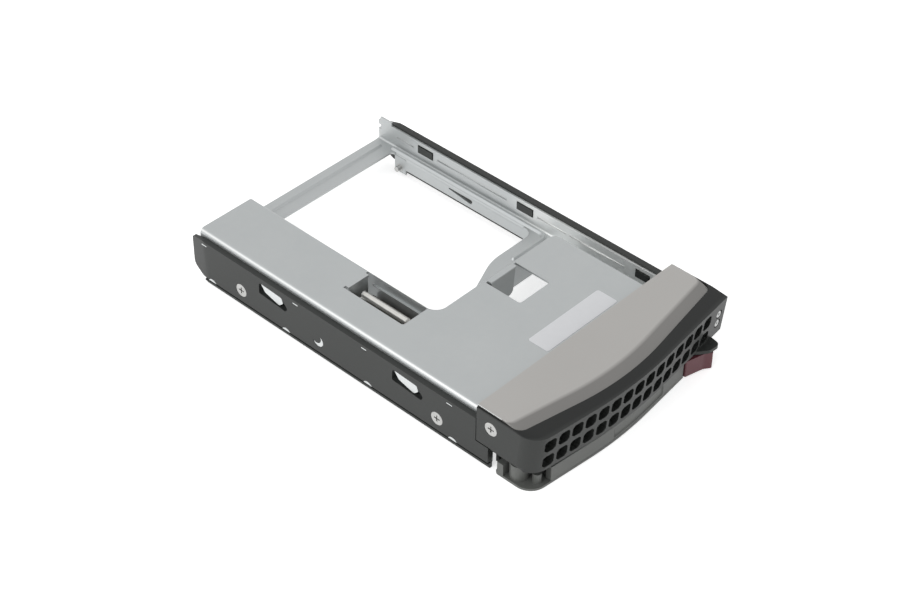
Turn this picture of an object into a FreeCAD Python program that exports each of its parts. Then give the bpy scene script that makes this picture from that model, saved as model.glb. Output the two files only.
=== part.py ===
import FreeCAD, Part
import math
import os

# All sizes are in millimetres. While the shapes are made, the zero is the
# line through the two front rail screws; save() moves it to the base centre.

# Overall
HALF_WIDTH = 53.4
REST_Z = -8.5
REAR_Y = 131.3
FRONT_Y = -49.96
GAP = 0.3
TOUCH = 0.1
RUN = 0.05

# Stamped sheet
T = 0.8
RAIL_T = 2.4
WALL_X = HALF_WIDTH - RAIL_T - TOUCH
TOP_Z = 14.8
LOW_Z = 2.4
PLATEAU_REAR_Y = 126.2
PLATE_REAR_Y = 28.45
SHEET_FRONT_Y = -36.0
WALL_FRONT_Y = -31.0
SIDE_BEND = 2.7
BEND = 2.0
CORNER_IN = 4.5
CORNER_OUT = 4.0
LEFT_WALL_BOTTOM = -7.0
RIGHT_WALL_TOP = 11.3
TIP_Y = 124.0
TIP_Z = 12.9
WALL_NOTCH_Z = (7.4, 9.3)
WALL_NOTCH = 1.2
FLANGE_BOTTOM = -5.6
RIGHT_FLANGE_BOTTOM = -3.2

# Bay for a 2.5 inch drive, with its side holes
STRIP_W = 27.2
BAY_LEFT = STRIP_W - WALL_X
BAY_RIGHT = WALL_X - 4.3
PLATE_RIGHT_X = BAY_RIGHT - 5.9
BAY_FRONT = 30.5
RIM_Y = 43.8
RIM_START_X = BAY_LEFT + 14.7
RIM_END_X = BAY_RIGHT - 24.1
BAY_REAR = 120.3
HOLE_Z = -3.35
HOLE_REAR_Y = 116.1
HOLE_FRONT_Y = 39.5
PIN_R = 1.6
PIN_HEAD_R = 2.2
PIN_REACH = 2.0
PIN_TIP_R = 1.15
BEAD_R = 1.3
BEAD_TOP_R = 0.5
BEAD_H = 0.8
BEAD_X = WALL_X - 2.3
BEAD_Y = 38.5
BEAD_START_X = BEAD_X - 19.0
BEAD_TURN = 3.0
BAR_BEAD_Y = 127.0

# Guide rails
RAIL_INNER_X = HALF_WIDTH - RAIL_T
RAIL_TOP = 12.2
RAIL_TAPER_Y = 122.7
RAIL_FACE_BOTTOM = -5.2
RAIL_FRONT_Y = -24.5
RAIL_STEP_Y = -18.6
RAIL_STEP_Z = 1.8
RAIL_REAR_Y = 129.5
FOOT_REAR_Y = 122.5
FOOT_IN = 1.0
FOOT_BEAD_IN = 0.15
FOOT_BEAD_Z = (-6.9, -6.1)
FOOT_NECK_IN = 1.6
NOSE_Y = 121.5
NOSE_IN = 1.3
LUG_IN = 0.1
PAD_IN = 0.5
TICK_HALF = 1.4
TICK_Z = (10.2, 10.9)
NOTCH_R = 2.7
NOTCH_Z = -6.9
NOTCH_FLOOR = -5.5
CRESCENT_R = 2.6
SCREW_Y = (0.0, 101.6)
CRESCENT_Y = 60.0
WINDOW_PITCH = 69.4
TICK_Y = (-5.9, 36.2, 71.7, 121.6)
NOTCH_Y = (-7.6, 34.5, 77.3, 118.2)
HOOK_Y = ((-11.0, -4.5), (47.3, 55.3), (101.0, 108.8))
HOOK_Z = (6.2, 9.4)
HOOK_REACH = 0.5
SLIT_Y = ((1.3, 28.4), (29.8, 44.9), (61.1, 98.4), (111.5, 121.0))
SLIT_Z = (7.1, 7.6)

# Countersunk screws
HEAD_R = 2.75
SHANK_R = 1.45
HEAD_SINK = 0.1
BEZEL_SCREW_Y = -25.5
BEZEL_SCREW_Z = 11.4

# Bezel and cover
BEZEL_REAR_Y = -18.9
BEZEL_BOTTOM = 0.7
BEZEL_EDGE_Z = 17.2
BEZEL_TOP = 17.9
BEZEL_WALL = 2.4
BEZEL_SIDE_Z = 2.3
BEZEL_SIDE_IN = 0.9
BEZEL_SIDE_Y = -40.0
SKIRT_W = 14.0
SKIRT_Y = (-26.4, -25.2)
SKIRT_Z = -6.0
FLOOR_T = 0.8
FACE_LEAN = 1.7
COVER_TOP = 18.6
COVER_MARGIN = 0.8
COVER_HALF = HALF_WIDTH - COVER_MARGIN
COVER_REAR_Y = -18.8
COVER_T = 0.8
COVER_DROP = 1.1
CELL_COLUMNS = 15
CELL_FIRST_X = 7.6 - HALF_WIDTH
CELL_LAST_X = HALF_WIDTH - 12.54
CELL_PITCH = (CELL_LAST_X - CELL_FIRST_X) / (CELL_COLUMNS - 1)
CELL_ROWS = (5.0, 12.6)
CELL_RIB = 0.99
CELL_W = CELL_PITCH - CELL_RIB
CELL_H = 5.8
CELL_CUT = 1.1
CELL_CORNERS = [
    (-1, -1, 0, CELL_CUT), (-1, -1, CELL_CUT, 0), (1, -1, CELL_CUT, 0), (1, -1, 0, CELL_CUT),
    (1, 1, 0, CELL_CUT), (1, 1, CELL_CUT, 0), (-1, 1, CELL_CUT, 0), (-1, 1, 0, CELL_CUT)]
PIPE_X = HALF_WIDTH - 4.1
PIPE_Z = {"light_pipe_lower": 6.6, "light_pipe_upper": 11.2}
PIPE_R = 1.8
PIPE_SINK = 0.3
PIPE_REAR_Y = -37.0

# Label on the front plate
LABEL_X = (-12.6, 25.9)
LABEL_Y = (-15.5, -6.0)

# Lever
PIVOT_X = 5.1 - HALF_WIDTH
LEVER_X = 0.6 - HALF_WIDTH
PIVOT_Y = -34.8
PIVOT_R = 1.5
BARREL_R = 3.6
LEVER_BOTTOM = -8.3
LEVER_TOP = -0.7
LEVER_PLATE = 1.0
LEVER_FRONT_Y = -60.0
LEVER_FACE_Y = -40.5
LEVER_WEB_Y = (-38.4, -37.4)
WEB_START = 14.8
TAIL_W = 5.3
TAIL_Y = (-31.2, -28.4)
TAIL_TOP = -2.2
LEVER_END_X = HALF_WIDTH - 22.4
PANEL_X = (-12.2, 17.2)
PANEL_SINK = 0.4

# Release button and its guide
STEM_X = (LEVER_END_X + 2.6, LEVER_END_X + 7.8)
STEM_Z = (-6.4, -2.0)
STEM_REAR_Y = -30.5
GUIDE_WALL = 1.3
GUIDE_Y = (-38.0, -23.0)
BUTTON_BOTTOM = -8.0
BUTTON_TOP = -0.6
SPRING_R = 1.8
WIRE_R = 0.3
COIL_STEPS = 12

# Windows in the upper level
SQUARE_X = (BAY_LEFT + 24.2, BAY_LEFT + 40.45)
SQUARE_Y = (9.5, 24.85)
LATCH_WINDOW_X = (BAY_LEFT - 14.0, BAY_LEFT - 1.2)
LATCH_WINDOW_Y = (31.65, 60.65)
RELIEF = 1.2

# Drive latch
LATCH_X = (BAY_LEFT - 13.8, BAY_LEFT - 1.9)
LATCH_Y = (34.0, 59.0)
LATCH_BOTTOM = -5.9
LATCH_TOP = 7.8
LATCH_STEP = 5.8
BAR_X = BAY_LEFT - 7.3
BAR_R = 1.6
BAR_Y = (36.0, 58.6)
LEDGE_Z = 10.1
LATCH_SPRING_R = 2.2
LATCH_SPRING_Z = -1.0
SHELF_Z = LATCH_BOTTOM - GAP
SHELF_W = 22.3

V = FreeCAD.Vector
ALONG = {"x": V(1, 0, 0), "y": V(0, 1, 0), "z": V(0, 0, 1)}
PLANES = {
    "xy": lambda a, b, c: V(a, b, c),
    "xz": lambda a, b, c: V(a, c, b),
    "yz": lambda a, b, c: V(c, a, b),
}
NORMALS = {"xy": "z", "xz": "y", "yz": "x"}


def box(x, y, z):
    return Part.makeBox(x[1] - x[0], y[1] - y[0], z[1] - z[0], V(x[0], y[0], z[0]))


def rod(start, axis, radius, length):
    return Part.makeCylinder(radius, length, V(*start), ALONG[axis])


def wire(points, level, plane="xy"):
    # A closed wire through (a, b, radius) points; each corner gets its radius.
    place = PLANES[plane]
    corners = []
    for i, (bx, by, radius) in enumerate(points):
        here = V(bx, by, 0)
        before = V(points[i - 1][0], points[i - 1][1], 0) - here
        after = V(points[(i + 1) % len(points)][0], points[(i + 1) % len(points)][1], 0) - here
        before.normalize()
        after.normalize()
        if radius <= 0:
            corners.append((here, None, here))
            continue
        half = before.getAngle(after) / 2
        reach = radius / math.tan(half)
        inward = before + after
        inward.normalize()
        middle = here + inward * (radius / math.sin(half) - radius)
        corners.append((here + before * reach, middle, here + after * reach))
    edges = []
    for i, (enter, middle, leave) in enumerate(corners):
        a, m, b = [None if p is None else place(p.x, p.y, level) for p in (enter, middle, leave)]
        last = corners[i - 1][2]
        start = place(last.x, last.y, level)
        if start.distanceToPoint(a) > 1e-6:
            edges.append(Part.LineSegment(start, a).toShape())
        if m is not None:
            edges.append(Part.Arc(a, m, b).toShape())
    return Part.Wire(edges)


def solid(points, span, plane="xy"):
    face = Part.Face(wire(points, span[0], plane))
    return face.extrude(ALONG[NORMALS[plane]] * (span[1] - span[0]))


def loft(levels):
    # A ruled solid through (points, height) pairs.
    return Part.makeLoft([wire(points, level) for points, level in levels], True, True)


def moved(points, dx, dy):
    return [(x + dx, y + dy, r) for x, y, r in points]


def mirrored(shape):
    return shape.mirror(V(0, 0, 0), V(1, 0, 0))


def join(shapes):
    return shapes[0].fuse(shapes[1:]).removeSplitter()


def coil(start, axis, radius, wire_r, length, turns):
    # A spring along X or Y from start, in short straight lengths of square wire.
    place = V(*start)
    rings = []
    for step in range(turns * COIL_STEPS + 1):
        angle = 2 * math.pi * step / COIL_STEPS
        out = V(math.cos(angle), 0, math.sin(angle))
        along = V(0, 1, 0)
        middle = out * radius + along * (length * step / (turns * COIL_STEPS))
        ring = [middle + out * wire_r, middle + along * wire_r,
                middle - out * wire_r, middle - along * wire_r]
        if axis == "x":
            ring = [V(p.y, p.x, p.z) for p in ring]
        rings.append(Part.makePolygon([place + p for p in ring + ring[:1]]))
    return Part.makeLoft(rings, True, True)


def ribbon(path, half, turn):
    # The outline of a band along path, with round ends and corners.
    sides = []
    for sign in (1, -1):
        side = []
        for i, (x, y) in enumerate(path):
            before = V(*path[max(i, 1) - 1], 0)
            into = (V(*path[max(i, 1)], 0) - before).normalize()
            away = into
            if 0 < i < len(path) - 1:
                away = (V(*path[i + 1], 0) - V(x, y, 0)).normalize()
            across = V(-into.y - away.y, into.x + away.x, 0).normalize()
            reach = sign * half / across.dot(V(-into.y, into.x, 0))
            end = half * ((i == len(path) - 1) - (i == 0))
            corner = V(x, y, 0) + across * reach + into * end
            radius = turn - sign * half
            side.append((corner.x, corner.y, 0.95 * half if end else radius))
        sides.append(side[::sign])
    return sides[0] + sides[1]


def bead(path):
    # A pressed bead with sloping sides on the sheet's lower level.
    return loft([(ribbon(path, BEAD_R, BEAD_TURN), LOW_Z - 0.1),
                 (ribbon(path, BEAD_TOP_R, BEAD_TURN), LOW_Z + BEAD_H)])


def plateau(inset):
    # The L-shaped upper level, its outline pulled in by inset.
    left = -WALL_X + inset
    bay = BAY_LEFT - inset
    back = PLATE_REAR_Y - inset
    right = PLATE_RIGHT_X - inset
    over = 1.0 if inset else 0.0
    front = SHEET_FRONT_Y - over
    rear = PLATEAU_REAR_Y + over
    points = [
        (left, front, 0),
        (right, front, 0),
        (right, back, CORNER_OUT - inset),
        (bay, back, CORNER_IN + inset),
        (bay, rear, 0),
        (left, rear, 0),
    ]
    top = TOP_Z - inset
    body = solid(points, (LEFT_WALL_BOTTOM - 0.5 - over, top))
    bends = []
    for edge in body.Edges:
        heights = [v.Z for v in edge.Vertexes]
        spots = [v.Y for v in edge.Vertexes]
        if min(heights) < top - 1e-6:
            continue
        if max(spots) < front + 1e-6 or min(spots) > rear - 1e-6:
            continue
        bends.append(edge)
    return body.makeFillet(BEND - inset, bends)


def wall_openings():
    # Hook slots and screw holes, in the left wall.
    x = (-WALL_X - 0.5, -WALL_X + T + 0.5)
    cuts = []
    for y0, y1 in HOOK_Y:
        cuts.append(box(x, (y0 - GAP, y1 + GAP), (HOOK_Z[0] - GAP, HOOK_Z[1] + GAP)))
    for y in SCREW_Y:
        cuts.append(rod((x[0], y, 0), "x", SHANK_R + RUN, x[1] - x[0]))
    return cuts


def pads():
    # Hollow pads pressed out of the left wall into the rail's windows.
    outer = -HALF_WIDTH + PAD_IN
    raised = []
    hollows = []
    for shift in (0.0, -WINDOW_PITCH):
        face = Part.Face(wire(moved(PAD, shift, 0), outer, "yz"))
        raised.append(face.extrude(V(-WALL_X + T - outer, 0, 0)))
        inner = face.makeOffset2D(-T)
        inner.translate(V(T, 0, 0))
        hollows.append(inner.extrude(V(-WALL_X - outer + 1.0, 0, 0)))
    return raised, hollows


def marks(x, margin):
    # Small openings in the left rail, or with a margin the sheet's lugs in them.
    length = x[1] - x[0]
    z = (TICK_Z[0] + margin, TICK_Z[1] - margin)
    half = TICK_HALF - margin
    out = [box(x, (y - half, y + half), z) for y in TICK_Y]
    for y in NOTCH_Y:
        disc = rod((x[0], y, NOTCH_Z), "x", NOTCH_R - margin, length)
        out.append(disc.common(box(x, (y - NOTCH_R, y + NOTCH_R), (NOTCH_FLOOR + margin, 0.0))))
    ring = rod((x[0], CRESCENT_Y, 0), "x", CRESCENT_R - margin, length)
    inner = rod((x[0], CRESCENT_Y + 0.9, 1.0), "x", CRESCENT_R - 0.4 + margin, length)
    out.append(ring.cut(inner))
    return out


def tray_sheet():
    upper = plateau(0.0).cut(plateau(T))
    far = 200.0
    lower = LOW_Z - T
    upper = upper.cut(box((-WALL_X + 1.5, far), (-far, BAY_FRONT + 1.2), (-far, lower)))
    upper = upper.cut(box((-WALL_X + 1.5, far), (BAY_FRONT, far), (-far, FLANGE_BOTTOM)))
    upper = upper.cut(box((-far, far), (-far, RAIL_FRONT_Y + 0.5), (-far, lower)))
    upper = upper.cut(box((-far, far), (-far, far), (-far, LEFT_WALL_BOTTOM)))

    bend_x = WALL_X - SIDE_BEND
    plate = box((BAY_LEFT - T, bend_x), (SHEET_FRONT_Y, REAR_Y - 0.1), (lower, LOW_Z))
    plate = plate.cut(plateau(T))
    window = [
        (BAY_LEFT, BAY_FRONT, 0),
        (RIM_START_X, BAY_FRONT, 14.0),
        (RIM_END_X, RIM_Y, 25.0),
        (BAY_RIGHT, RIM_Y, 4.0),
        (BAY_RIGHT, BAY_REAR, 1.5),
        (BAY_LEFT, BAY_REAR, 0),
    ]
    plate = plate.cut(solid(window, (lower - 1, LOW_Z + 1)))
    side_y = (RIM_Y + 5.0, BAY_REAR - 1.5)
    plate = plate.cut(box((BAY_RIGHT - 1, bend_x + 0.5), side_y, (lower - 1, LOW_Z + 1)))

    inside = WALL_X - T
    wall = solid([
        (bend_x, lower, 0), (WALL_X, lower, 2 * T), (WALL_X, RIGHT_WALL_TOP, 0),
        (inside, RIGHT_WALL_TOP, 0), (inside, LOW_Z, T), (bend_x, LOW_Z, 0)],
        (SHEET_FRONT_Y, REAR_Y), "xz")
    tip = box((inside, WALL_X), (TIP_Y, REAR_Y - 1.0), (RIGHT_WALL_TOP - 0.5, TIP_Z))
    flange = solid([
        (BAY_RIGHT, RIGHT_FLANGE_BOTTOM, 0), (BAY_RIGHT, LOW_Z, 2 * T), (bend_x, LOW_Z, 0),
        (bend_x, lower, 0), (BAY_RIGHT + T, lower, T),
        (BAY_RIGHT + T, RIGHT_FLANGE_BOTTOM, 0)], side_y, "xz")
    ears = []
    for y0, y1 in ((HOLE_FRONT_Y - 3.4, RIM_Y + 5.1), (HOLE_REAR_Y - 3.4, BAY_REAR - 1.5)):
        top = lower + 0.2
        ears.append(box((BAY_RIGHT, BAY_RIGHT + T), (y0, y1), (FLANGE_BOTTOM, top)))
    bead_rear = BAR_BEAD_Y - 2 * BEAD_R - BEAD_TURN
    beads = [
        bead([(BAY_LEFT + BEAD_TURN, BAR_BEAD_Y), (BAY_RIGHT - 1.0, BAR_BEAD_Y)]),
        bead([(BEAD_START_X, BEAD_Y), (BEAD_X, BEAD_Y), (BEAD_X, bead_rear)]),
    ]

    shelf = box((BAY_LEFT - SHELF_W, BAY_LEFT), (31.6, 62.0), (SHELF_Z - T, SHELF_Z))
    shelf_web = box((BAY_LEFT - T, BAY_LEFT), (31.7, 62.0), (SHELF_Z - T, FLANGE_BOTTOM + 0.5))
    tab_y = LATCH_WINDOW_Y[1]
    latch_tab = box((LATCH_WINDOW_X[0] + 1.7, LATCH_WINDOW_X[1] - 1.7), (tab_y, tab_y + T),
                    (LATCH_TOP - 1.0, TOP_Z - T / 2))
    tab_y = SQUARE_Y[1]
    square_tab = solid([
        (3.0, LOW_Z, 0), (14.0, LOW_Z, 2.5), (SQUARE_X[1] - 1.7, TOP_Z - T / 2, 0),
        (SQUARE_X[0] + 1.5, TOP_Z - T / 2, 0)], (tab_y, tab_y + T), "xz")
    inner = BAY_LEFT - T
    ledge = box((inner - T, inner + 0.1), (LATCH_WINDOW_Y[0] + 1.5, LATCH_WINDOW_Y[1] - 1.0),
                (LEDGE_Z - T / 2, LEDGE_Z))
    lugs = marks((-HALF_WIDTH + LUG_IN, -WALL_X + T / 2), TOUCH)
    raised, hollows = pads()

    sheet = join([upper, plate, wall, tip, flange, ledge] + ears + beads)
    sheet = join([sheet, shelf, shelf_web, latch_tab, square_tab] + lugs + raised)

    windows = []
    for x, y in ((LATCH_WINDOW_X, LATCH_WINDOW_Y), (SQUARE_X, SQUARE_Y)):
        windows.append(solid([
            (x[0], y[0], 1), (x[1], y[0], 1), (x[1], y[1], 0), (x[0], y[1], 0)],
            (TOP_Z - 2.5, TOP_Z + 1)))
        for corner in (x[0], x[1] - RELIEF):
            windows.append(box((corner, corner + RELIEF), (y[1] - 0.1, y[1] + 2 * T),
                               (TOP_Z - 2.0, TOP_Z + 1)))
    side_slot = solid([
        (75.6, 0.8, 0.8), (76.4, -1.4, 1.0), (88.6, 0.2, 0.3), (88.6, 0.8, 0.2)],
        (BAY_RIGHT - 1, BAY_RIGHT + 2), "yz")
    pin_holes = [
        rod((x, y, HOLE_Z), "x", PIN_R + RUN, 3.0)
        for x in (BAY_RIGHT - 1, BAY_LEFT - 2) for y in (HOLE_REAR_Y, HOLE_FRONT_Y)]
    through = (WALL_X - 1.2, WALL_X + 1)
    slits = [box(through, y, SLIT_Z) for y in SLIT_Y]
    slits.append(box(through, (REAR_Y - WALL_NOTCH, far), WALL_NOTCH_Z))
    room = [
        box((-far, -WALL_X + 2 * BEND), (-far, WALL_FRONT_Y), (-far, far)),
        box((bend_x - 0.1, far), (-far, WALL_FRONT_Y), (-far, far))]
    left = wall_openings()
    cuts = windows + [side_slot] + slits + pin_holes + hollows + room
    cuts += left + [mirrored(cut) for cut in left]
    for side in (-1, 1):
        start = side * WALL_X - 1.5
        cuts.append(rod((start, BEZEL_SCREW_Y, BEZEL_SCREW_Z), "x", SHANK_R + RUN, 3.0))
    return sheet.cut(cuts)


RAIL_WINDOW = [
    (77.0, 3.9, 1.2), (91.3, 4.9, 0.5), (91.2, 9.9, 1.2), (79.2, 9.3, 1.8), (76.0, 5.6, 1.0)]
PAD = [
    (81.0, 4.4, 1.2), (88.4, 6.4, 1.5), (90.8, 9.55, 0.4), (79.8, 9.0, 1.0), (78.8, 6.4, 1.0)]


def left_rail():
    inner = -RAIL_INNER_X
    face = -HALF_WIDTH
    side = solid([
        (RAIL_FRONT_Y, RAIL_FACE_BOTTOM, 0), (FOOT_REAR_Y + 1.4, RAIL_FACE_BOTTOM, 2.5),
        (RAIL_REAR_Y, -2.8, 3.0), (RAIL_REAR_Y, RAIL_TOP - 1.4, 1.5), (RAIL_TAPER_Y, RAIL_TOP, 1.0),
        (RAIL_STEP_Y, RAIL_TOP, 0), (RAIL_STEP_Y, RAIL_STEP_Z, 0),
        (RAIL_FRONT_Y, RAIL_STEP_Z, 0)], (face, inner), "yz")
    side_x = face + FOOT_IN
    neck_x = face + FOOT_NECK_IN
    bead_x = face + FOOT_BEAD_IN
    foot = solid([
        (inner, REST_Z, 0), (side_x, REST_Z, 0.4), (side_x, FOOT_BEAD_Z[0] - GAP, 0),
        (bead_x, FOOT_BEAD_Z[0], 0.2), (bead_x, FOOT_BEAD_Z[1], 0.2),
        (neck_x, FOOT_BEAD_Z[1], 0), (neck_x, RAIL_FACE_BOTTOM + 0.2, 0),
        (inner, RAIL_FACE_BOTTOM + 0.2, 0)], (RAIL_FRONT_Y, FOOT_REAR_Y), "xz")
    hooks = [
        box((inner - 0.2, inner + T + HOOK_REACH), y, HOOK_Z) for y in HOOK_Y]
    body = join([side, foot] + hooks)

    x = (face - 1, inner + 0.05)
    cuts = [
        solid(moved(RAIL_WINDOW, shift, 0), x, "yz") for shift in (0.0, -WINDOW_PITCH)]
    cuts += marks(x, 0.0)
    for y in SCREW_Y:
        cuts.append(rod((x[0], y, 0), "x", SHANK_R + RUN, x[1] - x[0]))
        cuts.append(countersink(face, y, 0))
    rear = RAIL_REAR_Y + 0.1
    nose = solid([
        (face - 1, NOSE_Y, 0), (face, NOSE_Y, 0), (face + NOSE_IN, rear, 0),
        (face - 1, rear, 0)], (REST_Z - 1, RAIL_TOP + 1))
    cuts.append(nose)
    return body.cut(cuts)


def countersink(face, y, z):
    # Room for a flat screw head in a left face.
    depth = HEAD_R - SHANK_R + HEAD_SINK
    outer = HEAD_R + RUN + HEAD_SINK
    cone = Part.makeCone(outer, SHANK_R + RUN, depth, V(face, y, z), ALONG["x"])
    return cone.fuse(rod((face - 0.5, y, z), "x", HEAD_R + RUN, 0.5 + HEAD_SINK))


def left_screw(y, z):
    face = -HALF_WIDTH + HEAD_SINK
    sink = HEAD_R - SHANK_R
    head = Part.makeCone(HEAD_R, SHANK_R, sink, V(face, y, z), ALONG["x"])
    shank = rod((face + sink, y, z), "x", SHANK_R, 4.0 - sink + 0.8)
    cross = [
        box((face - 1, face + 0.7), (y - w, y + w), (z - h, z + h))
        for w, h in ((1.4, 0.3), (0.3, 1.4))]
    return join([head, shank]).cut(cross)


EDGE = [
    (-HALF_WIDTH, BEZEL_REAR_Y, 0), (-HALF_WIDTH, -46.0, 8), (-6.0, -51.2, 180),
    (HALF_WIDTH, -44.4, 0), (HALF_WIDTH, BEZEL_REAR_Y, 0)]
CREST = [
    (-HALF_WIDTH, BEZEL_REAR_Y, 0), (-HALF_WIDTH, -38.4, 5), (-6.0, -47.3, 120),
    (HALF_WIDTH, -37.3, 0), (HALF_WIDTH, BEZEL_REAR_Y, 0)]


def front_line(lean, wall=0.0):
    # The bezel's front outline moved back by lean, with its sides in by wall.
    out = []
    for x, y, r in EDGE:
        if abs(x) > HALF_WIDTH - wall:
            x = math.copysign(HALF_WIDTH - wall, x)
        y += lean if y < BEZEL_REAR_Y else wall
        out.append((x, y, max(r - wall, 0)))
    return out


def face_y(x):
    # Where the leaning face lies at half height, near x.
    left, tip, right = EDGE[1], EDGE[2], EDGE[3]
    a = left if x < tip[0] else right
    y = tip[1] + (a[1] - tip[1]) * (x - tip[0]) / (a[0] - tip[0])
    return y + FACE_LEAN / 2


def bezel():
    foot = front_line(FACE_LEAN)
    shell = loft([(foot, BEZEL_BOTTOM), (EDGE, BEZEL_EDGE_Z), (CREST, BEZEL_TOP)])
    room = front_line(FACE_LEAN + BEZEL_WALL, BEZEL_WALL)
    shell = shell.cut(solid(room, (BEZEL_BOTTOM + FLOOR_T, BEZEL_EDGE_Z - 1.3)))
    mouth = [
        (-HALF_WIDTH + BEZEL_WALL, -10, 0), (-HALF_WIDTH + BEZEL_WALL, -35.5, 3),
        (-6.0, -43.6, 120), (HALF_WIDTH - BEZEL_WALL, -34.5, 3),
        (HALF_WIDTH - BEZEL_WALL, -10, 0)]
    shell = shell.cut(solid(mouth, (BEZEL_EDGE_Z - 2, BEZEL_TOP + 1)))
    seat = [(x * (COVER_HALF + 0.2) / COVER_HALF, y - 0.2, r) for x, y, r in COVER_EDGE]
    seat_z = COVER_TOP - COVER_T - COVER_DROP - TOUCH
    shell = shell.cut(solid(seat, (seat_z, COVER_TOP)))

    notch = [
        (RAIL_FRONT_Y - GAP, BEZEL_BOTTOM - 1, 0), (-10.0, BEZEL_BOTTOM - 1, 0),
        (-10.0, RAIL_STEP_Z + TOUCH, 0), (RAIL_FRONT_Y - GAP, RAIL_STEP_Z + TOUCH, 0)]
    notch = solid(notch, (-HALF_WIDTH - 1, -WALL_X + T + TOUCH), "yz")
    under = box((-HALF_WIDTH - 1, -HALF_WIDTH + BEZEL_SIDE_IN),
                (BEZEL_SIDE_Y, BEZEL_REAR_Y + 1), (BEZEL_BOTTOM - 1, BEZEL_SIDE_Z))
    shell = shell.cut([notch, mirrored(notch), under, mirrored(under)])

    a = LEVER_END_X
    tongue = solid([
        (a + 3.0, -43.0, 0), (a + 9.6, -48.0, 2), (a + 14.9, -48.4, 2), (a + 15.8, -43.0, 0)],
        (0.0, BEZEL_BOTTOM + FLOOR_T))
    guide = [
        box((STEM_X[0] - GAP - GUIDE_WALL, STEM_X[0] - GAP), GUIDE_Y, (-7.4, BEZEL_BOTTOM + 0.2)),
        box((STEM_X[1] + GAP, STEM_X[1] + GAP + GUIDE_WALL), GUIDE_Y, (-7.4, BEZEL_BOTTOM + 0.2)),
        box((STEM_X[0] - GAP - 0.1, STEM_X[1] + GAP + 0.1), (GUIDE_Y[1] - GUIDE_WALL, GUIDE_Y[1]),
            (-7.4, BEZEL_BOTTOM + 0.2)),
    ]
    skirt = box((-WALL_X + T + GAP, -WALL_X + SKIRT_W), SKIRT_Y, (SKIRT_Z, BEZEL_BOTTOM + 0.2))
    boss = rod((PIVOT_X, PIVOT_Y, LEVER_TOP + GAP), "z", BARREL_R - 0.2,
               BEZEL_BOTTOM - LEVER_TOP)
    shell = join([shell, tongue, boss, skirt] + guide)

    cuts = [rod((PIVOT_X, PIVOT_Y, -5), "z", PIVOT_R + 0.02, 10)]
    for column in range(CELL_COLUMNS):
        x = CELL_FIRST_X + column * CELL_PITCH
        for z in CELL_ROWS:
            w, h = CELL_W / 2, CELL_H / 2
            cell = [
                (x + side * (w - a), z + top * (h - b), 0)
                for side, top, a, b in CELL_CORNERS]
            cuts.append(solid(cell, (FRONT_Y - 1, face_y(x) + 2 * BEZEL_WALL), "xz"))
    for z in PIPE_Z.values():
        cuts.append(rod((PIPE_X, FRONT_Y, z), "y", PIPE_R + RUN, PIPE_REAR_Y - FRONT_Y + 1))
    shell = shell.cut(cuts)
    side = countersink(-HALF_WIDTH, BEZEL_SCREW_Y, BEZEL_SCREW_Z).fuse(
        rod((-HALF_WIDTH - 1, BEZEL_SCREW_Y, BEZEL_SCREW_Z), "x", SHANK_R + RUN, 4))
    return shell.cut([side, mirrored(side)])


COVER_EDGE = [
    (-COVER_HALF, COVER_REAR_Y, 0), (-COVER_HALF, -37.9, 4), (-6.0, -47.0, 120),
    (COVER_HALF, -36.9, 4), (COVER_HALF, COVER_REAR_Y, 0)]
COVER_CREASE = [
    (-COVER_HALF, COVER_REAR_Y, 0), (-COVER_HALF, -32.4, 3), (-6.0, -40.6, 120),
    (COVER_HALF, -31.4, 3), (COVER_HALF, COVER_REAR_Y, 0)]


def front_cover():
    edge_z = COVER_TOP - COVER_DROP
    outer = loft([(COVER_EDGE, edge_z - COVER_T), (COVER_EDGE, edge_z),
                  (COVER_CREASE, COVER_TOP)])
    wide = [(math.copysign(60, x) if abs(x) > 50 else x, y if r else -10, r)
            for x, y, r in COVER_EDGE]
    crease = [(math.copysign(60, x) if abs(x) > 50 else x, y if r else -10, r)
              for x, y, r in COVER_CREASE]
    inner = loft([(wide, edge_z - COVER_T), (crease, COVER_TOP - COVER_T)])
    plate = outer.cut(inner)
    hem = box((-COVER_HALF + 1.9, COVER_HALF - 1.9), (COVER_REAR_Y - T, COVER_REAR_Y),
              (TOP_Z + GAP, COVER_TOP - 0.2))
    return join([plate, hem])


def label():
    x, y = LABEL_X, LABEL_Y
    corners = [(x[0], y[0], 1), (x[1], y[0], 1), (x[1], y[1], 1), (x[0], y[1], 1)]
    return solid(corners, (TOP_Z, TOP_Z + 0.1))


LEVER_LINE = [
    (LEVER_X, -27.2, 1.5), (LEVER_X, -44.0, 7), (-9.0, -48.2, 160), (LEVER_END_X, -43.9, 0)]
LEVER_BACK = [(LEVER_END_X, -37.0, 1), (LEVER_X + WEB_START, -36.0, 4), (LEVER_X + 10.3, -27.2, 3)]


def lever():
    plate = solid(LEVER_LINE + LEVER_BACK, (LEVER_BOTTOM, LEVER_BOTTOM + LEVER_PLATE))
    base = LEVER_BOTTOM + LEVER_PLATE - 0.1
    tail = box((LEVER_X, LEVER_X + TAIL_W), TAIL_Y, (base, TAIL_TOP))
    barrel = rod((PIVOT_X, PIVOT_Y, base), "z", BARREL_R, LEVER_TOP - base)
    rivet = rod((PIVOT_X + 2.0, PIVOT_Y - 6.4, base), "z", 1.7, 4.2)
    web = box((LEVER_X + WEB_START, LEVER_END_X - 1.0), LEVER_WEB_Y, (base, LEVER_TOP - 0.4))
    body = join([plate, tail, barrel, rivet, web])
    return body.cut(rod((PIVOT_X, PIVOT_Y, LEVER_BOTTOM - 1), "z", PIVOT_R + RUN, 12))


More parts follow.
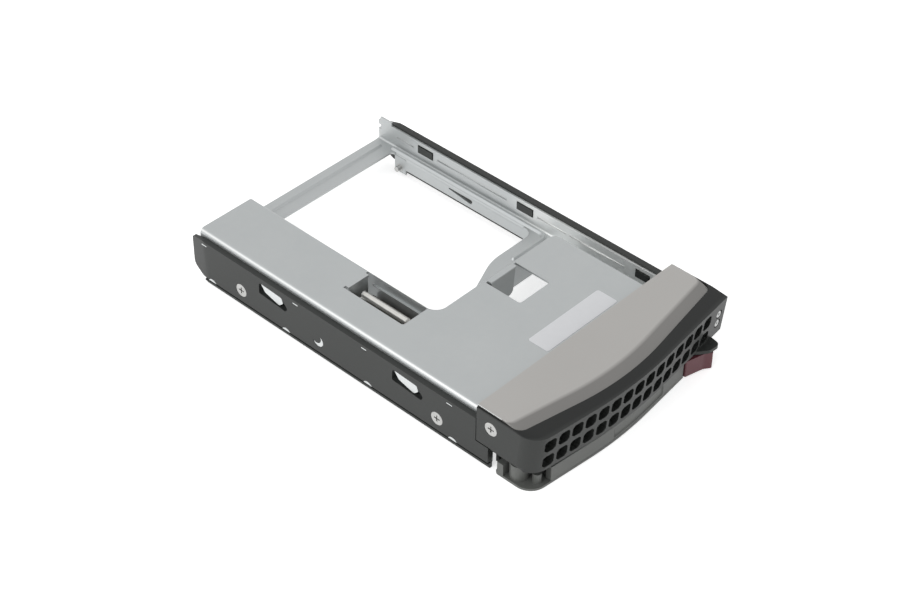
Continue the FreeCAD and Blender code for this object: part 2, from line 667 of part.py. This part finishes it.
def lever_face():
    low = LEVER_BOTTOM + LEVER_PLATE + 0.02
    front = solid(LEVER_LINE + LEVER_BACK, (low, LEVER_TOP))
    behind = solid(moved(LEVER_LINE + LEVER_BACK, 0, 2.6), (low - 1, LEVER_TOP + 1))
    wall = front.cut(behind)
    wall = wall.common(box((PIVOT_X + BARREL_R + 1.5, LEVER_END_X), (LEVER_FRONT_Y, LEVER_FACE_Y),
                           (low, LEVER_TOP)))
    sunk = solid(moved(LEVER_LINE + LEVER_BACK, 0, PANEL_SINK), (low + 1.0, LEVER_TOP - 1.0))
    skin = front.cut(sunk).common(box(PANEL_X, (LEVER_FRONT_Y, LEVER_FACE_Y - 1.5),
                                   (low + 1.0, LEVER_TOP - 1.0)))
    return wall.cut(skin)


def lever_pivot_pin():
    low = LEVER_BOTTOM + 0.2
    floor = BEZEL_BOTTOM + FLOOR_T
    stud = rod((PIVOT_X, PIVOT_Y, low), "z", PIVOT_R, floor - low + 0.1)
    head = rod((PIVOT_X, PIVOT_Y, floor + 0.05), "z", PIVOT_R + 0.7, 0.8)
    return join([stud, head])


def release_button():
    a = LEVER_END_X
    wedge = solid([
        (a + 0.5, -44.4, 0.6), (a + 8.6, -46.4, 4), (a + 11.8, -48.6, 0.6), (a + 12.3, -44.0, 1.5),
        (a + 8.0, -41.6, 1), (a + 0.5, -41.0, 0.5)], (BUTTON_BOTTOM, BUTTON_TOP))
    stem = box(STEM_X, (-42.0, STEM_REAR_Y), STEM_Z)
    return join([wedge, stem])


def button_spring():
    x = (STEM_X[0] + STEM_X[1]) / 2
    z = (STEM_Z[0] + STEM_Z[1]) / 2
    start = STEM_REAR_Y + GAP + WIRE_R
    stop = GUIDE_Y[1] - GUIDE_WALL - GAP - WIRE_R
    return coil((x, start, z), "y", SPRING_R, WIRE_R, stop - start, 4)


def drive_latch():
    low = box(LATCH_X, LATCH_Y, (LATCH_BOTTOM, LATCH_STEP))
    high = box((BAR_X - BAR_R, BAR_X + BAR_R), LATCH_Y, (LATCH_STEP - 0.2, LATCH_TOP))
    pocket = box((LATCH_X[0] + 1.5, LATCH_X[1] - 3.5), (LATCH_Y[0] + 12, LATCH_Y[1] - 1.5),
                 (LATCH_BOTTOM - 1, LATCH_STEP - 1.4))
    body = join([low, high]).cut(pocket)
    hole = rod((LATCH_X[1] - 3.0, HOLE_FRONT_Y, HOLE_Z), "x", PIN_R + RUN, 5)
    return body.cut(hole)


def latch_bar():
    return rod((BAR_X, BAR_Y[0], LATCH_TOP + BAR_R + 0.02), "y", BAR_R, BAR_Y[1] - BAR_Y[0])


def latch_pin():
    start = LATCH_X[1] - 2.9
    shank = rod((start, HOLE_FRONT_Y, HOLE_Z), "x", PIN_R, BAY_LEFT - start)
    return join([shank, rod((BAY_LEFT, HOLE_FRONT_Y, HOLE_Z), "x", PIN_TIP_R, PIN_REACH)])


def latch_spring():
    start = -WALL_X + T + GAP + WIRE_R
    stop = LATCH_X[0] - GAP - WIRE_R
    y = (LATCH_Y[0] + LATCH_Y[1]) / 2
    return coil((start, y, LATCH_SPRING_Z), "x", LATCH_SPRING_R, WIRE_R, stop - start, 5)


def drive_pin(face, y, side):
    # A pin through a bay flange whose free end points into the bay.
    back = face + side * T
    head_start = min(back + side * 0.05, back + side * 0.85)
    head = rod((head_start, y, HOLE_Z), "x", PIN_HEAD_R, 0.8)
    ends = sorted((back + side * 0.1, face))
    shank = rod((ends[0], y, HOLE_Z), "x", PIN_R, ends[1] - ends[0])
    tip = rod((min(face, face - side * PIN_REACH), y, HOLE_Z), "x", PIN_TIP_R, PIN_REACH)
    return join([head, shank, tip])


def light_pipe(z):
    front = face_y(PIPE_X) + FACE_LEAN * (0.5 - (z - BEZEL_BOTTOM) / (BEZEL_EDGE_Z - BEZEL_BOTTOM))
    front += PIPE_SINK
    return rod((PIPE_X, front, z), "y", PIPE_R, PIPE_REAR_Y - front)


def save(name, shape):
    # The saved frame has its zero at the middle of the base.
    shape = shape.copy()
    shape.translate(V(0, -(REAR_Y + FRONT_Y) / 2, -REST_Z))
    if not shape.isValid():
        print("not valid:", name)
    solids = shape.Solids
    if len(solids) != 1:
        print(name, "has", len(solids), "solids")
    shape.exportStep("parts/" + name + ".step")
    bounds = shape.BoundBox
    print(name, [round(v, 2) for v in (
        bounds.XMin, bounds.XMax, bounds.YMin, bounds.YMax, bounds.ZMin, bounds.ZMax)])


os.makedirs("parts", exist_ok=True)
rail = left_rail()
save("tray_sheet", tray_sheet())
save("left_rail", rail)
save("right_rail", mirrored(rail))
for word, y in zip(("front", "rear"), SCREW_Y):
    screw = left_screw(y, 0)
    save("left_rail_screw_" + word, screw)
    save("right_rail_screw_" + word, mirrored(screw))
screw = left_screw(BEZEL_SCREW_Y, BEZEL_SCREW_Z)
save("bezel_screw_left", screw)
save("bezel_screw_right", mirrored(screw))
save("bezel", bezel())
save("front_cover", front_cover())
save("label", label())
for name, z in PIPE_Z.items():
    save(name, light_pipe(z))
save("lever", lever())
save("lever_face", lever_face())
save("lever_pivot_pin", lever_pivot_pin())
save("release_button", release_button())
save("button_spring", button_spring())
save("drive_latch", drive_latch())
save("latch_bar", latch_bar())
save("latch_pin", latch_pin())
save("latch_spring", latch_spring())
save("drive_pin_rear_right", drive_pin(BAY_RIGHT, HOLE_REAR_Y, 1))
save("drive_pin_front_right", drive_pin(BAY_RIGHT, HOLE_FRONT_Y, 1))
save("drive_pin_rear_left", drive_pin(BAY_LEFT, HOLE_REAR_Y, -1))
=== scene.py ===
import math

import bmesh
import bpy
from mathutils import Matrix, Vector
from mathutils.bvhtree import BVHTree


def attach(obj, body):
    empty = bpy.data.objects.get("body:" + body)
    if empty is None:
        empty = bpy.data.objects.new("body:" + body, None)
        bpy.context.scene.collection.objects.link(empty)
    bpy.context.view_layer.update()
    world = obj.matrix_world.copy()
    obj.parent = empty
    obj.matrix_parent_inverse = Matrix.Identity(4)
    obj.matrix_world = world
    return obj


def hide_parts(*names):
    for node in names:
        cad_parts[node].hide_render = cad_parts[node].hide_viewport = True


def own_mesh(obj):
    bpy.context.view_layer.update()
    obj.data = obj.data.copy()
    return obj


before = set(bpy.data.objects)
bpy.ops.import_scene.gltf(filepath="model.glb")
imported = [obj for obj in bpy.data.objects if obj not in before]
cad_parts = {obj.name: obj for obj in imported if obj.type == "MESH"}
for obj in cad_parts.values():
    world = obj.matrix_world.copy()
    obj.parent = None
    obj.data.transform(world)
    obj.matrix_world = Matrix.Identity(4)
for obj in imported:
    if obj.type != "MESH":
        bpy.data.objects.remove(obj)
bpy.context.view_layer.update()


# The tray sheet
# One piece of spangled zinc-coated steel, 0.8 mm thick, stamped on two levels
# and folded. The functions that dress every piece stand here, at their first use.

class Value:
    """A shader socket that can be added, multiplied and passed on."""

    def __init__(self, tree, socket):
        self.tree = tree
        self.socket = socket

    def make(self, kind, settings, sockets, out=0):
        node = self.tree.nodes.new(kind)
        for name, value in settings.items():
            setattr(node, name, value)
        for name, value in sockets.items():
            if isinstance(value, Value):
                self.tree.links.new(value.socket, node.inputs[name])
            else:
                node.inputs[name].default_value = value
        return Value(self.tree, node.outputs[out])

    def maths(self, operation, first, second):
        return self.make("ShaderNodeMath", {"operation": operation}, {0: first, 1: second})

    def __add__(self, other):
        return self.maths("ADD", self, other)

    def __mul__(self, other):
        return self.maths("MULTIPLY", self, other)

    def __sub__(self, other):
        return self.maths("SUBTRACT", self, other)

    __rmul__ = __mul__


def grain(place, scale, detail=2.0, rough=0.5):
    return place.make(
        "ShaderNodeTexNoise", {},
        {"Vector": place, "Scale": scale, "Detail": detail, "Roughness": rough})


def along(place, axis):
    # The place's X, Y or Z, in metres.
    return place.make("ShaderNodeSeparateXYZ", {}, {0: place}, axis)


def ramp(value, start, stop):
    # 0 up to start, 1 from stop on.
    return value.make("ShaderNodeMapRange", {}, {0: value, 1: start, 2: stop})


def tint(amount, dark, light):
    # From the dark colour, which may be a Value, to the light one.
    below = dark if isinstance(dark, Value) else (*dark, 1.0)
    return amount.make(
        "ShaderNodeMix", {"data_type": "RGBA"},
        {0: amount, 6: below, 7: (*light, 1.0)}, 2)


def relief(height, distance, strength):
    return height.make(
        "ShaderNodeBump", {},
        {"Height": height, "Distance": distance, "Strength": strength})


def finish(name, look, constants):
    material = bpy.data.materials.new(name)
    material.use_nodes = True
    tree = material.node_tree
    shader = tree.nodes["Principled BSDF"]
    for socket, value in constants.items():
        shader.inputs[socket].default_value = value
    place = Value(tree, tree.nodes.new("ShaderNodeTexCoord").outputs["Object"])
    for socket, value in look(place).items():
        tree.links.new(value.socket, shader.inputs[socket])
    return material


MERGE = 1e-6
SAME_PLANE = 0.99998


def flats(work):
    # The flat regions of a mesh: each face's region, and each region's area
    # as a vector along its normal.
    region, spread = {}, []
    for first in work.faces:
        if first in region:
            continue
        region[first] = len(spread)
        spread.append(Vector())
        pile = [first]
        while pile:
            face = pile.pop()
            spread[-1] += face.normal * face.calc_area()
            for other in {f for line in face.edges for f in line.link_faces}:
                if other not in region and other.normal.dot(first.normal) > SAME_PLANE:
                    region[other] = region[first]
                    pile.append(other)
    return region, spread


def rounded_normals(work):
    # Corner normals that leave flat regions flat and turn bends smoothly. The
    # larger region wins at a corner, so long thin triangles leave no streaks.
    region, spread = flats(work)
    normals = []
    for face in work.faces:
        for corner in face.loops:
            fan, pile = {face}, [face]
            while pile:
                for line in pile.pop().edges:
                    if line.smooth and corner.vert in line.verts:
                        for other in line.link_faces:
                            if other not in fan:
                                fan.add(other)
                                pile.append(other)
            total = Vector()
            for part in {region[near] for near in fan}:
                total += spread[part] * spread[part].length
            normals.append(total.normalized() if total.length else face.normal.copy())
    return normals


def dressed(node, body, material, edge, angle=32.0):
    # A copy of a CAD node that stands for it. Its edges are bevelled, or with
    # an edge of 0 its normals are rounded instead.
    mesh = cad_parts[node].data.copy()
    mesh.name = node + "_dressed"
    work = bmesh.new()
    work.from_mesh(mesh)
    bmesh.ops.remove_doubles(work, verts=work.verts, dist=MERGE)
    bmesh.ops.dissolve_degenerate(work, edges=work.edges, dist=2 * MERGE)
    for face in work.faces:
        face.smooth = True
    for line in work.edges:
        line.smooth = line.is_manifold and line.calc_face_angle(0.0) < math.radians(angle)
    normals = [] if edge else rounded_normals(work)
    work.to_mesh(mesh)
    work.free()
    if normals:
        mesh.normals_split_custom_set(normals)
    piece = bpy.data.objects.new(node + "_dressed", mesh)
    bpy.context.scene.collection.objects.link(piece)
    mesh.materials.clear()
    mesh.materials.append(material)
    if edge:
        bevel = piece.modifiers.new("edges", "BEVEL")
        bevel.width = edge
        bevel.segments = 3
        bevel.limit_method = "ANGLE"
        bevel.angle_limit = math.radians(angle)
        bevel.harden_normals = False
        bevel.miter_outer = "MITER_ARC"
        smooth = piece.modifiers.new("shading", "WEIGHTED_NORMAL")
        smooth.keep_sharp = True
        smooth.weight = 80
    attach(piece, body)
    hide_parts(node)


# The bent tab is painted darker: painted shade.
TAB_MIDDLE = (0.0086, -0.01542, 0.0168)
TAB_REACH = (0.0072, 0.0006, 0.006)
# The right wall is painted brighter towards the front and the left fold is painted bright:
# painted highlights.
WALL_FACE = (0.0494, 0.0496)
WALL_HIGHLIGHT_FADE = (0.02, -0.01)
FOLD_FACE = (-0.0498, -0.0503)
FOLD_TOP = (0.0221, 0.0227)
# The lugs on the sheet's left outer side are painted lighter: a painted highlight.
LUG_FACE = (-0.0509, -0.0511)
PAINTED_HIGHLIGHT = (0.88, 0.89, 0.88)
LUG_PAINTED_HIGHLIGHT = (0.7, 0.72, 0.72)
TAB_PAINTED_SHADE = (0.3, 0.315, 0.315)


def zinc(place):
    # Spangled zinc. The right wall, brighter towards the front, and the left fold carry
    # painted highlights. The lugs on the left outer side are painted lighter, and the bent
    # tab carries painted shade.
    spangle = place.make(
        "ShaderNodeTexVoronoi", {}, {"Vector": place, "Scale": 420.0}, 1)
    flake = spangle.make("ShaderNodeSeparateColor", {}, {0: spangle})
    cloud = grain(place, 45.0, 3.0)
    mixed = cloud * 0.85 + flake * 0.15
    x, y, z = [along(place, axis) for axis in range(3)]
    tab = 1.0
    for part, middle, reach in zip((x, y, z), TAB_MIDDLE, TAB_REACH):
        tab = tab * part.make(
            "ShaderNodeMath", {"operation": "COMPARE"}, {0: part, 1: middle, 2: reach})
    wall = ramp(x, *WALL_FACE) * (ramp(y, *WALL_HIGHLIGHT_FADE) * 0.9 + 0.1)
    fold = ramp(x, *FOLD_FACE) * ramp(z, *FOLD_TOP) * 0.8
    lugs = ramp(x, *LUG_FACE)
    colour = tint(mixed, (0.45, 0.47, 0.475), (0.51, 0.528, 0.528))
    for mask, tone in ((wall, PAINTED_HIGHLIGHT), (fold, PAINTED_HIGHLIGHT), (lugs, LUG_PAINTED_HIGHLIGHT), (tab, TAB_PAINTED_SHADE)):
        colour = tint(mask, colour, tone)
    return {
        "Base Color": colour,
        "Roughness": mixed * 0.12 + 0.4,
        "Normal": relief(grain(place, 900.0), 0.00002, 0.4),
    }


sheet_finish = finish("galvanised sheet", zinc, {"Metallic": 0.75})
dressed("tray_sheet", "tray", sheet_finish, 0.0)


def graph(name, sizes):
    # A node tree with a named input for each size, and its two tools: make()
    # adds a node and joins its sockets, close() ends the tree.
    tree = bpy.data.node_groups.new(name, "GeometryNodeTree")
    kinds = {"Geometry": "Geometry", "Material": "Material"}
    for label, kind in {**kinds, **dict.fromkeys(sizes, "Float")}.items():
        tree.interface.new_socket(label, in_out="INPUT", socket_type="NodeSocket" + kind)
    tree.interface.new_socket("Geometry", in_out="OUTPUT", socket_type="NodeSocketGeometry")
    given = tree.nodes.new("NodeGroupInput").outputs

    def make(kind, sockets, settings=None):
        node = tree.nodes.new(kind)
        for key, value in (settings or {}).items():
            setattr(node, key, value)
        for key, value in sockets.items():
            if isinstance(value, bpy.types.NodeSocket):
                tree.links.new(value, node.inputs[key])
            else:
                node.inputs[key].default_value = value
        return node.outputs

    def close(shape):
        whole = make("GeometryNodeRealizeInstances", {0: shape[0]})
        clad = make("GeometryNodeSetMaterial", {
            "Geometry": whole[0], "Material": given["Material"]})
        tree.links.new(clad[0], tree.nodes.new("NodeGroupOutput").inputs[0])

    return tree, given, make, close


def grown(name, tree, start, sizes, material):
    # The mesh that a node tree makes from its start, kept as a plain object.
    start = start or bpy.data.meshes.new(name + "_seed")
    seed = bpy.data.objects.new(name + "_seed", start)
    bpy.context.scene.collection.objects.link(seed)
    grow = seed.modifiers.new("grow", "NODES")
    grow.node_group = tree
    for socket in tree.interface.items_tree:
        if socket.in_out == "INPUT" and socket.name != "Geometry":
            grow[socket.identifier] = {"Material": material, **sizes}[socket.name]
    ready = seed.evaluated_get(bpy.context.evaluated_depsgraph_get())
    mesh = bpy.data.meshes.new_from_object(ready)
    mesh.name = name
    bpy.data.objects.remove(seed)
    for face in mesh.polygons:
        face.use_smooth = True
    piece = bpy.data.objects.new(name, mesh)
    bpy.context.scene.collection.objects.link(piece)
    return piece


edging, given, make, close = graph("pressed lip", ("Wire", "Round"))
path = make("GeometryNodeMeshToCurve", {"Mesh": given["Geometry"]})
eased = make("GeometryNodeFilletCurve", {
    "Curve": path[0], "Radius": given["Round"], "Limit Radius": True, "Count": 3},
    {"mode": "POLY"})
ring = make("GeometryNodeCurvePrimitiveCircle", {"Resolution": 8, "Radius": given["Wire"]})
close(make("GeometryNodeCurveToMesh", {
    "Curve": eased[0], "Profile Curve": ring[0], "Fill Caps": True}))


def lip(name, node, chosen, shift, sizes, material):
    # A thin bead along those edges of a CAD node that chosen() picks out.
    work = bmesh.new()
    work.from_mesh(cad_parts[node].data)
    bmesh.ops.remove_doubles(work, verts=work.verts, dist=MERGE)
    kept = [
        line for line in work.edges if len(line.link_faces) == 2 and any(
            chosen(line, one.normal, other.normal)
            for one, other in (line.link_faces, reversed(line.link_faces)))]
    spots = {}
    for line in kept:
        for dot in line.verts:
            spots.setdefault(dot, len(spots))
    start = bpy.data.meshes.new(name + "_path")
    start.from_pydata(
        [dot.co + Vector(shift) for dot in spots],
        [[spots[dot] for dot in line.verts] for line in kept], [])
    work.free()
    piece = grown(name, edging, start, sizes, material)
    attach(piece, "tray")


SLIT_X = 0.05
SLIT_Z = (0.01555, 0.01615)


def on_slit(line, face, side):
    # The rims of the right wall's slits, on its inner face.
    return face.x < -0.95 and abs(side.x) < 0.3 and all(
        dot.co.x > SLIT_X and SLIT_Z[0] < dot.co.z < SLIT_Z[1] for dot in line.verts)


lip("slit_lips", "tray_sheet", on_slit, (-0.00005, 0.0, 0.0),
    {"Wire": 0.00018, "Round": 0.0}, sheet_finish)


# The guide rails
# Two black mouldings screwed to the sheet's side walls. The tool left a fine spark texture on
# their faces. The bezel has the same finish, but its crest, above CREST_Z, is painted darker
# as painted shade.

CREST_Z = 0.0259
CREST_BLEND = 0.0002


def moulded(place):
    speckle = grain(place, 2600.0, 3.0, 0.6)
    cloud = grain(place, 60.0)
    # Painted shade: the colour darkens above CREST_Z, on the bezel's crest.
    below = ramp(along(place, 2), CREST_Z, CREST_Z - CREST_BLEND)
    return {
        "Base Color": tint(
            (cloud * 0.5 + 0.5) * below, (0.008, 0.009, 0.0085), (0.034, 0.037, 0.035)),
        "Roughness": cloud * 0.1 + 0.36,
        "Normal": relief(speckle, 0.00003, 0.5),
    }


black_finish = finish("black moulding", moulded, {"Specular IOR Level": 0.32})
for rail in ("left_rail", "right_rail"):
    dressed(rail, "tray", black_finish, 0.0003)


# The countersunk screws
# Zinc plated steel with a cross recess; four hold the rails and two the bezel.

def plated(place):
    wear = grain(place, 500.0)
    return {
        "Base Color": tint(wear, (0.42, 0.42, 0.41), (0.56, 0.56, 0.55)),
        "Roughness": wear * 0.1 + 0.25,
    }


screw_finish = finish("bright zinc", plated, {"Metallic": 1.0})
for screw in (
        "left_rail_screw_front", "left_rail_screw_rear", "right_rail_screw_front",
        "right_rail_screw_rear", "bezel_screw_left", "bezel_screw_right"):
    dressed(screw, "tray", screw_finish, 0.0001)


# The bezel
# One black moulding: front grille, sides, floor, pivot boss and button guide.
# Each of the grille's cells has a fine rounded lip on its front edge.

dressed("bezel", "tray", black_finish, 0.00025)


CELLS_END_X = 0.0445
CELL_ROWS = ((0.01055, 0.01645), (0.01815, 0.02405))


def on_cell(line, face, side):
    # The front rims of the grille's cells, but not those of the guides' bores.
    return face.y < -0.8 and abs(side.y) < 0.4 and all(
        dot.co.x < CELLS_END_X and any(low < dot.co.z < high for low, high in CELL_ROWS)
        for dot in line.verts)


lip("cell_lips", "bezel", on_cell, (0.0, 0.00014, 0.0),
    {"Wire": 0.00016, "Round": 0.0008}, black_finish)


# The front cover and its label
# A painted steel plate with a curved sloping edge. A bead of bright zinc along its front and
# side edges is a painted highlight. The label is a plain film.

COVER_CREASE = 0.0271
COVER_FRONT_Y = -0.0596


def painted(place):
    # The slope in front of the crease is painted darker: painted shade.
    peel = grain(place, 700.0, 2.0)
    cloud = grain(place, 25.0)
    shade = ramp(along(place, 2), COVER_CREASE - 0.0003, COVER_CREASE - 0.00002)
    return {
        "Base Color": tint(
            shade * 0.85 + cloud * 0.15, (0.195, 0.19, 0.182), (0.485, 0.473, 0.455)),
        "Roughness": cloud * 0.08 + 0.38,
        "Normal": relief(peel, 0.00002, 0.3),
    }


def film(place):
    cloud = grain(place, 300.0)
    return {"Base Color": tint(cloud, (0.74, 0.75, 0.77), (0.78, 0.79, 0.81))}


cover_finish = finish("warm grey paint", painted, {"Metallic": 0.3})
label_finish = finish("label film", film, {"Roughness": 0.35})
dressed("front_cover", "tray", cover_finish, 0.0, 6.0)


def on_cover_edge(line, face, side):
    # The rear rim of the cover's top is left out.
    return face.z > 0.8 and abs(side.z) < 0.3 and any(
        dot.co.y < COVER_FRONT_Y for dot in line.verts)


# A bright zinc bead along the cover's front and side edges: a painted highlight on the edge.
lip("cover_edge", "front_cover", on_cover_edge, (0.0, 0.0, -0.00016),
    {"Wire": 0.00014, "Round": 0.0}, sheet_finish)
dressed("label", "tray", label_finish, 0.0)


# The light guides
# Two turned clear rods whose dimpled ends show at the right of the grille. Their colour is
# painted dark in the dimple, at the rim and behind the moulding's face: painted shade.

bezel_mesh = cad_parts["bezel"].data
bezel_skin = BVHTree.FromPolygons(
    [dot.co for dot in bezel_mesh.vertices], [face.vertices for face in bezel_mesh.polygons])
GUIDE_RECESS = 0.0001
GUIDE_RIM = 0.001
BESIDE = 1.5


def extent(node):
    # The two corners of a CAD node's box.
    points = [dot.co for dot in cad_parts[node].data.vertices]
    return [Vector([pick(p[i] for p in points) for i in range(3)]) for pick in (min, max)]


for name in ("light_pipe_upper", "light_pipe_lower"):
    low, high = extent(name)
    middle = (low + high) / 2
    girth = (high.x - low.x) / 2
    beside = [
        bezel_skin.ray_cast(Vector((middle.x + step, -1.0, middle.z)), Vector((0, 1, 0)))[0].y
        for step in (-BESIDE * girth, BESIDE * girth)]
    slope = (beside[1] - beside[0]) / (2 * BESIDE * girth)
    front = sum(beside) / 2 + GUIDE_RECESS

    def frosted(place):
        # Painted shade: darker the deeper a point lies behind the guide's front face.
        depth = along(place, 1) - along(place, 0) * slope - (front - middle.x * slope)
        sunk = ramp(depth, 0.00008, 0.0003)
        cloud = grain(place, 800.0)
        return {"Base Color": tint(
            sunk * 0.95 + cloud * 0.05, (0.84, 0.86, 0.85), (0.05, 0.05, 0.05))}

    # Radius and depth: the dimple, the flat ring, the rounded rim and the rod.
    profile = (
        (0.0, 0.0005), (0.0003, 0.0005), (0.00045, 0.0003), (0.00055, 0.0),
        (girth - 0.0005, 0.0), (girth - 0.00035, 0.0001), (girth - 0.0003, 0.0006),
        (girth, 0.0008), (girth, high.y - front), (0.0, high.y - front))
    work = bmesh.new()
    dots = [work.verts.new((middle.x + r, front + y, middle.z)) for r, y in profile]
    lines = [work.edges.new(pair) for pair in zip(dots, dots[1:])]
    bmesh.ops.spin(
        work, geom=dots + lines, cent=middle, axis=(0.0, 1.0, 0.0), angle=math.tau, steps=32)
    bmesh.ops.remove_doubles(work, verts=work.verts, dist=MERGE)
    bmesh.ops.recalc_face_normals(work, faces=work.faces)
    for dot in work.verts:
        if dot.co.y < front + GUIDE_RIM:
            dot.co.y += slope * (dot.co.x - middle.x)
    for face in work.faces:
        face.smooth = True
    mesh = bpy.data.meshes.new(name + "_turned")
    work.to_mesh(mesh)
    work.free()
    mesh.materials.append(finish("frosted guide", frosted, {"Roughness": 0.25}))
    mesh.set_sharp_from_angle(angle=math.radians(40.0))
    piece = bpy.data.objects.new(name + "_turned", mesh)
    bpy.context.scene.collection.objects.link(piece)
    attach(piece, "tray")
    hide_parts(name)


# The lever
# A folded steel arm on a pivot post, with a moulded grip along its front.

def dark_steel(place):
    cloud = grain(place, 80.0)
    return {
        "Base Color": tint(cloud, (0.11, 0.115, 0.11), (0.15, 0.155, 0.145)),
        "Roughness": cloud * 0.1 + 0.38,
        "Normal": relief(grain(place, 1500.0), 0.00002, 0.4),
    }


lever_finish = finish("dark lever steel", dark_steel, {"Metallic": 0.2})
dressed("lever", "lever", lever_finish, 0.0002)
dressed("lever_face", "lever", lever_finish, 0.0003)
dressed("lever_pivot_pin", "tray", screw_finish, 0.0001)


# The release button
# A burgundy wedge at the free end of the lever, pushed out by a small spring.

def burgundy(place):
    cloud = grain(place, 90.0)
    return {
        "Base Color": tint(cloud, (0.118, 0.027, 0.037), (0.14, 0.034, 0.046)),
        "Roughness": cloud * 0.08 + 0.34,
        "Normal": relief(grain(place, 2200.0), 0.00002, 0.4),
    }


button_finish = finish("burgundy moulding", burgundy, {})
dressed("release_button", "button", button_finish, 0.0003)


coil, given, make, close = graph("wire coil", ("Turns", "Radius", "Length", "Wire"))
line = make("GeometryNodeCurveSpiral", {
    "Resolution": 24, "Rotations": given["Turns"], "Start Radius": given["Radius"],
    "End Radius": given["Radius"], "Height": given["Length"]})
ring = make("GeometryNodeCurvePrimitiveCircle", {"Resolution": 10, "Radius": given["Wire"]})
close(make("GeometryNodeCurveToMesh", {
    "Curve": line[0], "Profile Curve": ring[0], "Fill Caps": True}))


def spring(node, axis, turns, wire):
    # A round wire coil in the room that the CAD spring takes.
    low, high = extent(node)
    room = (high - low)[axis]
    length = room - 2 * wire
    sizes = {
        "Turns": turns, "Radius": (high - low)[2] / 2 - wire,
        "Length": length, "Wire": wire}
    turn = Matrix.Rotation(math.pi / 2, 4, "X" if axis == 1 else "Y")
    piece = grown(node + "_wire", coil, None, sizes, screw_finish)
    piece.data.transform(
        Matrix.Translation((low + high) / 2) @ turn @ Matrix.Translation((0, 0, -length / 2)))
    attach(piece, "tray")
    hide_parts(node)
    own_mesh(piece)


SPRING_WIRE = 0.0003
spring("button_spring", 1, 4.0, SPRING_WIRE)


# The drive latch
# A brown slider under the raised strip, with a polished finger bar, its drive
# pin and its spring.

def brown(place):
    cloud = grain(place, 400.0, 3.0)
    return {
        "Base Color": tint(cloud, (0.06, 0.052, 0.042), (0.12, 0.1, 0.08)),
        "Normal": relief(grain(place, 1200.0), 0.00004, 0.6),
    }


latch_finish = finish("grainy brown moulding", brown, {"Roughness": 0.5})
dressed("drive_latch", "latch", latch_finish, 0.0003)


def polished(place):
    wear = grain(place, 500.0)
    return {"Base Color": tint(wear, (0.62, 0.61, 0.58), (0.76, 0.75, 0.72))}


bar_finish = finish("polished steel", polished, {"Metallic": 0.8, "Roughness": 0.3})
for rod in ("latch_bar", "latch_pin"):
    dressed(rod, "latch", bar_finish, 0.0001)
spring("latch_spring", 0, 5.0, SPRING_WIRE)


# The drive pins
# Three polished studs in the bay's flanges enter the side holes of the drive.

for pin in ("drive_pin_rear_right", "drive_pin_front_right", "drive_pin_rear_left"):
    dressed(pin, "tray", screw_finish, 0.0001)


# The floor
# A plain white table top that takes the shadow.

FLOOR_REACH = 6.0
FLOOR_GLOW = 0.62


def seen_rays(place):
    # 1 for the rays that see a background, 0 for those that only carry its light.
    camera, glossy, through = [place.make("ShaderNodeLightPath", {}, {}, kind) for kind in (
        "Is Camera Ray", "Is Glossy Ray", "Is Transmission Ray")]
    return camera + glossy + through


def white(place):
    return {"Emission Color": tint(seen_rays(place), (0.0, 0.0, 0.0), (1.0, 1.0, 1.0))}


mesh = bpy.data.meshes.new("floor")
mesh.from_pydata(
    [(-FLOOR_REACH, -FLOOR_REACH, 0), (FLOOR_REACH, -FLOOR_REACH, 0),
     (FLOOR_REACH, FLOOR_REACH, 0), (-FLOOR_REACH, FLOOR_REACH, 0)],
    [], [(0, 1, 2, 3)])
floor = bpy.data.objects.new("floor", mesh)
bpy.context.scene.collection.objects.link(floor)
mesh.materials.append(finish("white table", white, {
    "Base Color": (0.9, 0.9, 0.9, 1.0), "Roughness": 0.9, "Specular IOR Level": 0.0,
    "Emission Strength": FLOOR_GLOW}))


# The light
# An even white room with one large soft lamp over the left side.

ROOM_TONE = (0.62, 0.62, 0.62)
LAMP_SIZE = 0.9
LAMP_WATTS = 6.5
LAMP_STAND = Vector((-1.1, 0.1, 0.85))

world = bpy.data.worlds.new("room")
world.use_nodes = True
world.node_tree.links.new(
    tint(seen_rays(Value(world.node_tree, None)), ROOM_TONE, (1.0, 1.0, 1.0)).socket,
    world.node_tree.nodes["Background"].inputs["Color"])
bpy.context.scene.world = world

lamp_data = bpy.data.lights.new("soft box", "AREA")
lamp_data.size = LAMP_SIZE
lamp_data.energy = LAMP_WATTS
lamp = bpy.data.objects.new("soft box", lamp_data)
lamp.location = LAMP_STAND
lamp.rotation_euler = (-LAMP_STAND).to_track_quat("-Z", "Y").to_euler()
bpy.context.scene.collection.objects.link(lamp)
bpy.context.scene.view_settings.view_transform = "Standard"


# The camera
# It stands where the photograph was taken from, front left and above.

TURN = math.radians(46.93)
HEIGHT = math.radians(40.13)
ROLL = math.radians(0.49)
STAND = Vector((-0.45486, -0.42196, 0.52942))
SENSOR_WIDTH = 36.0
FOCAL_PIXELS = 2158.0
PHOTO_WIDTH = 900.0

across = Vector((math.cos(TURN), -math.sin(TURN), 0.0))
upright = Vector((
    math.sin(TURN) * math.sin(HEIGHT), math.cos(TURN) * math.sin(HEIGHT), math.cos(HEIGHT)))
back = Vector((
    -math.sin(TURN) * math.cos(HEIGHT), -math.cos(TURN) * math.cos(HEIGHT), math.sin(HEIGHT)))
right = math.cos(ROLL) * across + math.sin(ROLL) * upright
up = -math.sin(ROLL) * across + math.cos(ROLL) * upright
camera_data = bpy.data.cameras.new("camera")
camera_data.lens = SENSOR_WIDTH * FOCAL_PIXELS / PHOTO_WIDTH
camera_data.sensor_width = SENSOR_WIDTH
camera_data.clip_start = 0.01
camera = bpy.data.objects.new("camera", camera_data)
bpy.context.scene.collection.objects.link(camera)
turned = Matrix((right, up, back)).transposed().to_4x4()
camera.matrix_world = Matrix.Translation(STAND) @ turned
bpy.context.scene.camera = camera
